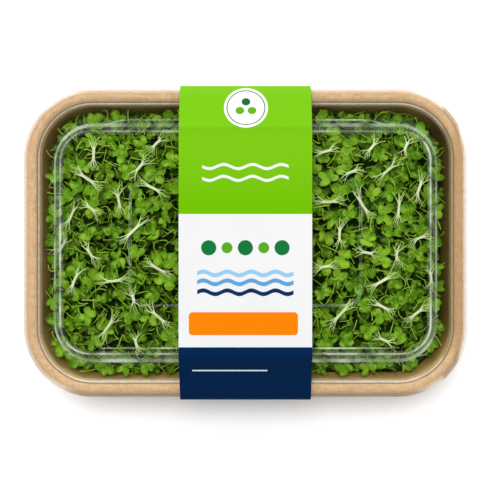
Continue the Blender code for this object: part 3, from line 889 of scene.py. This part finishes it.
def leaf_shape(angles, rings):
    """Seed leaf from above: points (x, y, share out, share of the turn) and faces."""
    degrees = np.linspace(-LEAF_SPAN_DEG, LEAF_SPAN_DEG, angles)
    reach = np.interp(np.abs(degrees), *np.array(LEAF_OUTLINE).T)
    theta = np.radians(degrees)
    points = [(0.0, 0.0, 0.0, 0.0)]
    for ring in rings:
        for a, r, d in zip(theta, reach, degrees):
            points.append((ring * r * np.cos(a), ring * r * np.sin(a), ring, d / LEAF_SPAN_DEG))
    fan = np.array([(0, 1 + k, 2 + k) for k in range(angles - 1)])
    starts = [1 + row * angles + k for row in range(len(rings) - 1) for k in range(angles - 1)]
    quads = np.array([(a, a + angles, a + angles + 1, a + 1) for a in starts])
    last = 1 + (len(rings) - 1) * angles
    edge = [0] + [1 + row * angles for row in range(len(rings) - 1)]
    edge += [last + k for k in range(angles)]
    edge += [angles + row * angles for row in range(len(rings) - 2, -1, -1)]
    count = len(points)
    rim = [(b, a, a + count, b + count) for a, b in zip(edge, edge[1:] + edge[:1])]
    tri = np.concatenate([fan, fan[:, ::-1] + count])
    quad = np.concatenate([quads, quads[:, ::-1] + count, rim])
    return np.array(points), tri, quad


def turned(axis, angle):
    """Rotation matrices about x, y or z for an array of angles."""
    c, s = np.cos(angle), np.sin(angle)
    one, nil = np.ones_like(c), np.zeros_like(c)
    rows = {
        "x": ((one, nil, nil), (nil, c, -s), (nil, s, c)),
        "y": ((c, nil, s), (nil, one, nil), (-s, nil, c)),
        "z": ((c, -s, nil), (s, c, nil), (nil, nil, one)),
    }[axis]
    return np.stack([np.stack(row, axis=-1) for row in rows], axis=-2)


# Ranges that a seed leaf is drawn from; all but the turns are shares of its length
BLADE = 0.00016
LEAF_LENGTH = (0.90, 1.04)
PAIR_LENGTHS = (1.06, 0.90)
LEAF_FORM = (
    (0.88, 1.04),  # width
    (-0.42, 0.42),  # cup
    (-0.16, 0.42),  # fold along its middle
    (0.05, 0.18),  # waves of its edge
)
LEAF_RAISE_DEG = (-16, 38)
LEAF_YAW_DEG = (-24, 24)
LEAF_TONE = (-0.2, 0.2)


def heads(draw, spots, levels, size, tilt, lines, detail):
    """Pairs of seed leaves at these spots, kept inside the wall and under the lid."""
    shape, tri, quad = leaf_shape(*detail)
    out, turn = shape[:, 2], shape[:, 3]
    count = len(spots)

    def drawn(low, high):
        return draw.uniform(low, high, count)

    size = drawn(*size)
    head_turn = turned("z", drawn(0, math.tau)) @ turned("x", np.radians(drawn(0, tilt)))
    head_tone = drawn(0, 1)
    start = drawn(0, math.tau)
    verts, tones = [], []
    for side in (0, 1):
        length = (size * drawn(*LEAF_LENGTH) * PAIR_LENGTHS[side])[:, None]
        wide, cup, fold, wavy = (drawn(*span)[:, None] for span in LEAF_FORM)
        phase = drawn(0, math.tau)[:, None]
        ruffle = 1 + 0.07 * out * np.sin(8.5 * turn + 2.0 * phase)
        x = shape[:, 0] * length * ruffle
        y = shape[:, 1] * (length * wide) * ruffle
        z = cup * np.hypot(x, y) ** 2 / length + fold * np.abs(y) * out
        z = z + wavy * length * out**2 * np.sin(5.6 * turn + phase)
        z = z - 0.10 * length * (np.exp(-((turn / 0.22) ** 2)) * out)
        top = np.stack([x + 0.03 * length, y, z], axis=-1)
        both = np.concatenate([top, top - np.array([0, 0, BLADE])], axis=1)
        raise_by = np.radians(drawn(*LEAF_RAISE_DEG))
        yaw = start + math.pi * side + np.radians(drawn(*LEAF_YAW_DEG))
        matrix = head_turn @ turned("z", yaw) @ turned("y", -raise_by)
        verts.append(np.einsum("nij,nvj->nvi", matrix, both))
        tones.append(np.clip(head_tone + drawn(*LEAF_TONE), 0, 1))
    values = {
        "out": np.tile(out, 4 * count),
        "turn": np.tile(turn, 4 * count),
        "tone": np.repeat(np.stack(tones, axis=1), 2 * len(shape)),
    }
    local = np.concatenate(verts, axis=1)
    place = np.column_stack([spots, levels])
    for _ in range(3):
        push = outside(local + place[:, None], wall_outline(place[:, 2].mean(), LEAF_GAP))
        far = np.linalg.norm(push, axis=-1).argmax(axis=1)
        place[:, :2] -= push[np.arange(count), far]
    world = local + place[:, None]
    place[:, 2] -= np.maximum((world[..., 2] - free_height(world, lines)).max(axis=1), 0.0)
    world = local + place[:, None]
    base = (np.arange(2 * count) * len(shape) * 2)[:, None, None]
    polygons = [(tri + base).reshape(-1, 3), (quad + base).reshape(-1, 4)]
    return world.reshape(-1, 3), polygons, values, place


def tubes(paths, radii, sides):
    """Round stems along paths (N, P, 3) with radii (N, P), closed at both ends."""
    count, points, _ = paths.shape
    along = unit(np.gradient(paths, axis=1))
    up = np.zeros_like(along)
    up[..., 2] = 1.0
    up[np.abs(along[..., 2]) > 0.9] = (1.0, 0.0, 0.0)
    side = unit(np.cross(along, up))
    other = np.cross(side, along)
    angle = math.tau * np.arange(sides) / sides
    ring = side[:, :, None, :] * np.cos(angle)[None, None, :, None]
    ring = ring + other[:, :, None, :] * np.sin(angle)[None, None, :, None]
    verts = paths[:, :, None, :] + ring * radii[:, :, None, None]
    caps = [tuple(range(sides))[::-1], tuple((points - 1) * sides + s for s in range(sides))]
    base = (np.arange(count) * points * sides)[:, None, None]
    polygons = [
        (np.array(strips(points, sides, False)) + base).reshape(-1, 4),
        (np.array(caps) + base).reshape(-1, sides),
    ]
    return verts.reshape(-1, 3), polygons


def round_part(paths, radii, sides, **values):
    """Tubes as a shape; the values are given by tube or by point."""
    verts, polygons = tubes(paths, radii, sides)
    values = {key: np.repeat(part, len(verts) // len(part)) for key, part in values.items()}
    return verts, polygons, values


def joined(parts):
    """Several (verts, polygons, values) as one."""
    verts, polygons, values, start = [], [], {}, 0
    for points, faces, numbers in parts:
        verts.append(points)
        polygons += [part + start for part in faces]
        for key, value in numbers.items():
            values.setdefault(key, []).append(value)
        start += len(points)
    return np.concatenate(verts), polygons, {k: np.concatenate(v) for k, v in values.items()}


SPOT_MARGIN = 0.0022


def scattered(draw, x_from, x_to, spacing, tries):
    """Seeded spots at least this far apart inside the tray."""
    outline = [value - SPOT_MARGIN for value in wall_outline(CANOPY_EDGE)]
    half_x, half_y, _ = outline
    xs = draw.uniform(max(x_from, -half_x), min(x_to, half_x), tries)
    ys = draw.uniform(-half_y, half_y, tries)
    chosen = np.empty((0, 2))
    for spot in np.column_stack([xs, ys]):
        if np.linalg.norm(outside(spot[None], outline)) > 0:
            continue
        if len(chosen) and np.linalg.norm(chosen - spot, axis=1).min() < spacing:
            continue
        chosen = np.vstack([chosen, spot])
    return chosen


# Layers of leaves from the top down: spacing, height above the canopy, size, tilt in
# degrees, painted shade of the layer, and the number of angles and the rings of a leaf
LAYERS = (
    (0.0069, (-0.0018, 0.0006), (0.0038, 0.0051), 30, 0.0, (21, (0.3, 0.6, 0.82, 1.0))),
    (0.0050, (-0.0038, -0.0012), (0.0017, 0.0026), 65, 0.30, (11, (0.5, 1.0))),
    (0.0053, (-0.0056, -0.0032), (0.0028, 0.0040), 44, 0.64, (15, (0.4, 0.75, 1.0))),
    (0.0056, (-0.0084, -0.0062), (0.0030, 0.0040), 44, 0.94, (9, (0.6, 1.0))),
)
HIDDEN_LAYERS = ((0.0070, (-0.0030, 0.0), (0.0034, 0.0042), 26, 0.1, (7, (0.6, 1.0))),)
LEAF_TRIES = 5200
CORE_DEPTH = 0.0085
CORE_GRID = (34, 60)
CORE_ROUGH = 0.0012


def core_piece(name, x_from, x_to, draw, look):
    """Mound of packed stems and leaves below the visible ones, near black as painted shade."""
    floor_z = BASE_Z + BOARD / 2 + CLEARANCE
    columns, rows = CORE_GRID
    grids = []
    for z in (floor_z, CANOPY_EDGE - CORE_DEPTH):
        half_x, half_y, radius = wall_outline(z)
        start, stop = max(x_from, -half_x), min(x_to, half_x)
        xs = start + (stop - start) * (1 - np.cos(np.linspace(0, math.pi, columns))) / 2
        past = np.maximum(np.abs(xs) - (half_x - radius), 0.0)
        widths = half_y - radius + np.sqrt(np.maximum(radius**2 - past**2, 0.0))
        grid = np.full((columns, rows, 3), floor_z)
        grid[..., 0] = xs[:, None]
        grid[..., 1] = widths[:, None] * np.linspace(-1, 1, rows)
        grids.append(grid)
    low, top = grids
    top[..., 2] = canopy(top[..., 0], top[..., 1]) - CORE_DEPTH
    top[1:-1, 1:-1, 2] += draw.uniform(-CORE_ROUGH, CORE_ROUGH, (columns - 2, rows - 2))
    index = np.arange(columns * rows).reshape(columns, rows)
    quads = np.stack([index[:-1, :-1], index[1:, :-1], index[1:, 1:], index[:-1, 1:]], axis=-1)
    edge = np.concatenate([index[:, 0], index[-1, 1:], index[-2::-1, -1], index[0, -2:0:-1]])
    ring = columns * rows + np.arange(len(edge))
    sides = np.stack([ring, np.roll(ring, -1), np.roll(edge, -1), edge], axis=-1)
    verts = np.concatenate([top.reshape(-1, 3), low.reshape(-1, 3)[edge]])
    polygons = [quads.reshape(-1, 4), sides, [ring[::-1]]]
    outward(mesh_piece(name, (verts, polygons, {}), look, None, 180))


def curved(start, end, bend, points):
    """Curves from start to end that bow by the vectors in bend."""
    t = np.linspace(0, 1, points)[None, :, None]
    middle = (start + end) / 2 + bend
    return (
        (1 - t) ** 2 * start[:, None]
        + 2 * t * (1 - t) * middle[:, None]
        + t**2 * end[:, None]
    )


# Stalks: radii, how these change from end to end, and tones
LEAF_STALKS = ((0.00022, 0.00032), (1.0, 1.0), (0, 1))
LOOSE_STALKS = ((0.00013, 0.00023), (0.8, 1.1), (0.2, 1))
STALK_SIDES = 4
STALK_POINTS = 5
STALK_LEAN = 0.0022
STALK_BEND = 0.0008
# Loose stalks on top, from the canopy's level
LOOSE_NUMBER = 620
LOOSE_TRIES = 9000
LOOSE_SPACING = 0.0021
LOOSE_POINTS = 6
LOOSE_HALF = (0.0014, 0.0036)
LOOSE_LEVEL = (-0.0044, -0.0002)
LOOSE_SLOPE = (-0.0022, 0.0006)
LOOSE_BEND = 0.0013
LOOSE_ARCH = (0.0, 0.0022)
LOOSE_GAP = 0.0006


def stalk_part(draw, paths, deep, radii, taper, tones):
    count, points, _ = paths.shape
    radii = draw.uniform(*radii, count)[:, None] * np.linspace(*taper, points)
    tone = draw.uniform(*tones, count)
    return round_part(paths, radii, STALK_SIDES, tone=tone, pale=tone * 0.1, deep=deep)


def loose_stalks(draw, x_from, x_to, number, lines):
    """Short bent stalks that lie among the leaves."""
    outline = [value - LOOSE_GAP for value in wall_outline(CANOPY_EDGE)]
    spots = scattered(draw, x_from, x_to, LOOSE_SPACING, LOOSE_TRIES)[:number]
    count = len(spots)
    turn = draw.uniform(0, math.tau, count)
    half = draw.uniform(*LOOSE_HALF, count)
    way = np.column_stack([np.cos(turn), np.sin(turn)])
    level = draw.uniform(*LOOSE_LEVEL, count)
    ends = []
    for sign in (-1, 1):
        flat = spots + sign * half[:, None] * way
        flat = flat - outside(flat, outline)
        z = canopy(flat[:, 0], flat[:, 1]) + level + draw.uniform(*LOOSE_SLOPE, count)
        ends.append(np.column_stack([flat, z]))
    sideways = draw.normal(0, LOOSE_BEND, (count, 2))
    bend = np.column_stack([sideways, draw.uniform(*LOOSE_ARCH, count)])
    paths = curved(*ends, bend, LOOSE_POINTS)
    over = np.maximum((paths[..., 2] - free_height(paths, lines) + 0.0004).max(axis=1), 0.0)
    paths[..., 2] -= over[:, None]
    below = canopy(paths[..., 0], paths[..., 1]) - paths[..., 2]
    # Painted shade: loose stalks darker the further they lie below the canopy
    deep = np.clip((below - 0.0024) / 0.0050, 0.0, 0.7).ravel()
    return stalk_part(draw, paths, deep, *LOOSE_STALKS)


def greens(side, x_from, x_to, layers, loose, seed, lines, looks):
    """Leaves, stalks and core of one end of the tray or of its middle."""
    draw = np.random.default_rng(seed)
    leaves, stalks = [], []
    for spacing, rise, size, tilt, layer_shade, detail in layers:
        spots = scattered(draw, x_from, x_to, spacing, LEAF_TRIES)
        levels = canopy(spots[:, 0], spots[:, 1]) + draw.uniform(*rise, len(spots))
        verts, polygons, values, place = heads(draw, spots, levels, size, tilt, lines, detail)
        values["deep"] = np.full(len(verts), layer_shade)
        leaves.append((verts, polygons, values))
        count = len(place)
        foot = place.copy()
        foot[:, :2] = place[:, :2] * 0.95 + draw.normal(0, STALK_LEAN, (count, 2))
        foot[:, :2] -= outside(foot, wall_outline(CANOPY_EDGE - CORE_DEPTH))
        foot[:, 2] = canopy(foot[:, 0], foot[:, 1]) - CORE_DEPTH - 0.001
        bend = np.column_stack([draw.normal(0, STALK_BEND, (count, 2)), np.zeros(count)])
        paths = curved(place - np.array([0, 0, 0.0001]), foot, bend, STALK_POINTS)
        # Painted shade: each stalk darkens from its layer's shade to full shade at its foot
        deep = np.tile(np.clip(layer_shade + np.linspace(0, 1, STALK_POINTS), 0, 1), count)
        stalks.append(stalk_part(draw, paths, deep, *LEAF_STALKS))
    if loose:
        stalks.append(loose_stalks(draw, x_from, x_to, loose, lines))
    shape = joined(leaves)
    mesh_piece(f"seed_leaves_{side}", shape, looks["leaf"], f"greens_{side}", 60)
    mesh_piece(f"stalks_{side}", joined(stalks), looks["stem"], None, 80)
    core_piece(f"packed_{side}", x_from, x_to, draw, looks["litter"])


# Bunches of stems, and the twigs that fork off
STRANDS = 4
STEM_POINTS = 13
STEM_SIDES = 6
STEM_HALF = 0.00024
STEM_STEP = 0.00030
FAN_FROM = 0.30
FAN = 0.0022
STEM_STRAY = 0.0006
STEM_RISE = 0.00014
STEM_REACH = (0.80, 1.05)
TIP_DROP = 0.0014
TWIG_POINTS = 5
TWIG_HALVES = (0.00015, 0.00010)
TWIG_TURN = (-0.75, 0.75)
TWIG_LENGTH = (0.0018, 0.0040)
TWIG_DROP = (0.0002, 0.0012)
TWIG_ARCH = 0.0003
TWIG_PALE = (0.1, 0.45)
STEM_TONE = (0.2, 1)


def bunch(name, middle, way, half, draw, look):
    """Sheaf of pale cut stems that fork and fan out at both ends."""
    side = np.array([-way[1], way[0], 0.0])
    way = np.array([way[0], way[1], 0.0])
    t = np.linspace(-1, 1, STEM_POINTS)
    end, out = (t > 0).astype(int), np.abs(t)
    spread = np.maximum(out - FAN_FROM, 0.0) / (1 - FAN_FROM)
    bow = draw.normal(0, STEM_STRAY)
    paths, tips = [], []
    for k in range(STRANDS):
        share = 2 * k / (STRANDS - 1) - 1
        fan = np.array([share * FAN + draw.normal(0, STEM_STRAY) for _ in range(2)])[end]
        reach = draw.uniform(*STEM_REACH, 2)[end]
        rise = draw.normal(0, STEM_RISE)
        across = share * STEM_STEP + fan * spread**1.3 + bow * (1 - out * out)
        along = half * t * (1 + (reach - 1) * out)
        line = middle + way * along[:, None] + side * across[:, None]
        line[:, 2] += rise * (1 - out) - TIP_DROP * spread**2 * (0.5 + 0.5 * abs(share))
        paths.append(line)
        tips += [(line[2], -1), (line[-3], 1)]
    radii = np.tile(STEM_HALF * (1 - 0.55 * spread), (STRANDS, 1))
    tone = draw.uniform(*STEM_TONE, STRANDS)
    pale = np.tile(1 - 0.7 * spread, STRANDS)
    parts = [round_part(np.array(paths), radii, STEM_SIDES, tone=tone, pale=pale)]
    twigs, shades = [], []
    for start, sign in tips:
        turn = draw.uniform(*TWIG_TURN)
        length = draw.uniform(*TWIG_LENGTH)
        tip = start + (way * sign * math.cos(turn) + side * math.sin(turn)) * length
        tip[2] -= draw.uniform(*TWIG_DROP)
        twigs.append((start, tip))
        shades.append(draw.uniform(*TWIG_PALE))
    starts, ends = np.array(twigs).transpose(1, 0, 2)
    paths = curved(starts, ends, np.array([0, 0, TWIG_ARCH]), TWIG_POINTS)
    radii = np.tile(np.linspace(*TWIG_HALVES, TWIG_POINTS), (len(twigs), 1))
    tone = draw.uniform(*STEM_TONE, len(twigs))
    parts.append(round_part(paths, radii, STEM_SIDES, tone=tone, pale=shades))
    mesh_piece(name.replace("stems", "sheaf"), joined(parts), look, name, 80)


# Studio


CAMERA_PLACE = (0.00176, -0.00286, 0.446)
CAMERA_LENS = 74.4
FLOOR_HALF = 3.0
# Strength of the sky by how far it faces +Y, and share of it left straight above
SKY_BY_Y = (-0.9, 0.9, 0.30, 1.06)
SKY_ABOVE = (0.89, 0.965, 1.0, 0.01)
# Soft lights: name, diameter in metres, power in watts and place
LAMPS = (
    ("key", 0.36, 7.7, (-0.050, 0.185, 1.05)),
    ("fill", 0.40, 3.3, (-0.10, 0.85, 0.50)),
)


def studio():
    scene = bpy.context.scene
    scene.view_settings.view_transform = "Standard"
    scene.view_settings.look = "None"
    world = bpy.data.worlds.new("soft_studio")
    scene.world = world
    world.use_nodes = True
    tree = world.node_tree
    background = tree.nodes["Background"]
    where = tree.nodes.new("ShaderNodeTexCoord")
    split = tree.nodes.new("ShaderNodeSeparateXYZ")
    tree.links.new(where.outputs["Generated"], split.inputs[0])
    y, z = Term(tree, split.outputs[1]), Term(tree, split.outputs[2])
    strength = y.ramp(*SKY_BY_Y) * z.ramp(*SKY_ABOVE)
    tree.links.new(strength.socket, background.inputs["Strength"])
    background.inputs["Color"].default_value = (1.0, 1.0, 1.0, 1.0)

    for name, size, power, place in LAMPS:
        light = bpy.data.lights.new(name, "AREA")
        light.shape = "DISK"
        light.size = size
        light.energy = power
        lamp = bpy.data.objects.new(name, light)
        lamp.location = place
        lamp.rotation_euler = Vector(place).to_track_quat("Z", "Y").to_euler()
        lamp.visible_glossy = False
        scene.collection.objects.link(lamp)

    camera = bpy.data.cameras.new("camera")
    camera.lens = CAMERA_LENS
    camera.sensor_width = 36.0
    camera.clip_start = 0.01
    camera.clip_end = 20.0
    shot = bpy.data.objects.new("camera", camera)
    shot.location = CAMERA_PLACE
    scene.collection.objects.link(shot)
    scene.camera = shot

    look = Look("pale_floor")
    fine = look.noise(90.0, 3.0)
    look.set(
        Base_Color=look.mix(fine, (0.93, 0.93, 0.93), (0.95, 0.95, 0.95)),
        Roughness=fine.ramp(0.3, 0.7, 0.85, 0.95),
        Specular_IOR_Level=0.1,
        Emission_Color=(1.0, 1.0, 1.0, 1.0),
        Emission_Strength=0.09,
    )
    mesh = bpy.data.meshes.new("floor")
    half = FLOOR_HALF
    corners = [(-half, -half, 0), (half, -half, 0), (half, half, 0), (-half, half, 0)]
    mesh.from_pydata(corners, [], [(0, 1, 2, 3)])
    mesh.materials.append(look.material)
    floor = bpy.data.objects.new("floor", mesh)
    scene.collection.objects.link(floor)


def main():
    studio()
    board_tray(kraft_look())
    plastic = clear_look()
    clear_lid(plastic)
    lid_rib("lid_rib_ledge", plastic, *LEDGE_RIB)
    lid_rib("lid_rib_top", plastic, *TOP_RIB)
    card_sleeve(card_look())
    looks = {"leaf": leaf_look(), "stem": stem_look(), "litter": litter_look()}
    lines = bunch_lines()
    near = MIDDLE_HALF_LENGTH + CLEARANCE
    greens("left", -TRAY_LENGTH / 2, -near, LAYERS, LOOSE_NUMBER, 21, lines, looks)
    greens("right", near, TRAY_LENGTH / 2, LAYERS, LOOSE_NUMBER, 22, lines, looks)
    half = MIDDLE_HALF_LENGTH
    greens("middle", -half, half, HIDDEN_LAYERS, 0, 23, lines, looks)
    draw = np.random.default_rng(31)
    for name, middle, way, half in lines:
        bunch(name, middle, way, half, draw, looks["stem"])


main()
